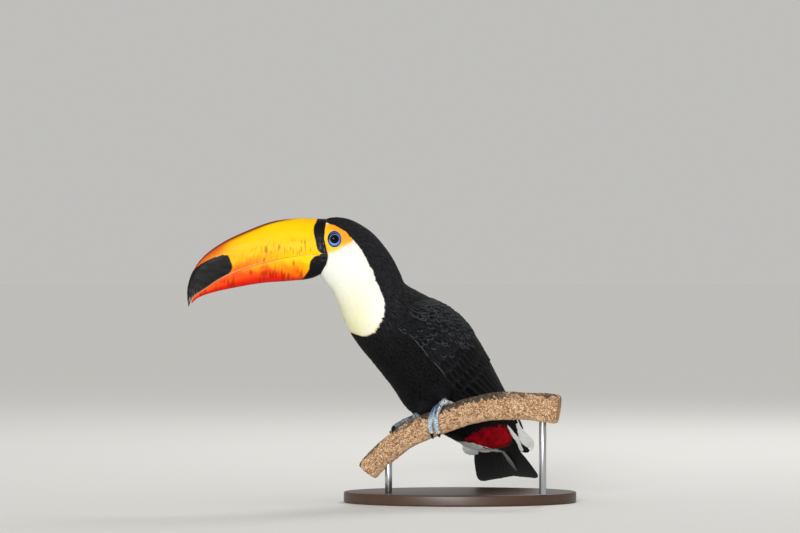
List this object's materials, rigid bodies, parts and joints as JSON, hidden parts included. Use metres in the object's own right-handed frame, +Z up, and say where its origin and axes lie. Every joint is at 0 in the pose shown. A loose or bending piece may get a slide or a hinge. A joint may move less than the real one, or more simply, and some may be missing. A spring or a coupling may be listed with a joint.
{
  "type": "toco toucan model on perch",
  "caption": "Life-size still model of a toco toucan perched on a short cut branch, held by a plain flat display stand.",
  "frame": {"origin": "middle of the display stand's underside", "axes": "+Z up, the bird looks towards -X with its left side towards -Y, its tail runs back towards +Y"},
  "size_m": [0.4972, 0.2898, 0.3667],
  "materials": {
    "bill_upper": "smooth horn, yellow shading to orange with a black root band and tip spot",
    "bill_lower": "smooth horn, orange shading to red along the keel",
    "face": "bare orange skin with a blue eye ring, black crown feathers",
    "bib_plumage": "short soft white feathers",
    "black_plumage": "soft black body feathers",
    "wing_plumage": "glossy black flight feathers and coverts",
    "white_plumage": "white rump and upper tail coverts",
    "red_plumage": "soft red under tail coverts",
    "tail_plumage": "black tail feathers",
    "eye": "wet dark brown eye",
    "toe_skin": "pale blue scaled skin",
    "claw_horn": "black horn",
    "bark": "tan granular bark with dark worn patches",
    "stand_wood": "dark stained, satin lacquered wood",
    "stand_steel": "brushed steel rods"
  },
  "bodies": {
    "root": {"maxilla": "bill_upper", "mandible": "bill_lower", "head": "face", "eye_left": "eye", "eye_right": "eye", "bib": "bib_plumage", "neck": "black_plumage", "torso": "black_plumage", "thigh_left": "black_plumage", "thigh_right": "black_plumage", "wing_left": "wing_plumage", "wing_right": "wing_plumage", "rump": "white_plumage", "crissum": "red_plumage", "tail": "tail_plumage", "foot_left": "toe_skin", "foot_right": "toe_skin", "claw_left_inner_front": "claw_horn", "claw_left_outer_front": "claw_horn", "claw_left_outer_back": "claw_horn", "claw_left_inner_back": "claw_horn", "claw_right_inner_front": "claw_horn", "claw_right_outer_front": "claw_horn", "claw_right_outer_back": "claw_horn", "claw_right_inner_back": "claw_horn", "perch": "bark", "stand_base": "stand_wood", "stand_rod_left": "stand_steel", "stand_rod_right": "stand_steel"}
  },
  "joints": []
}
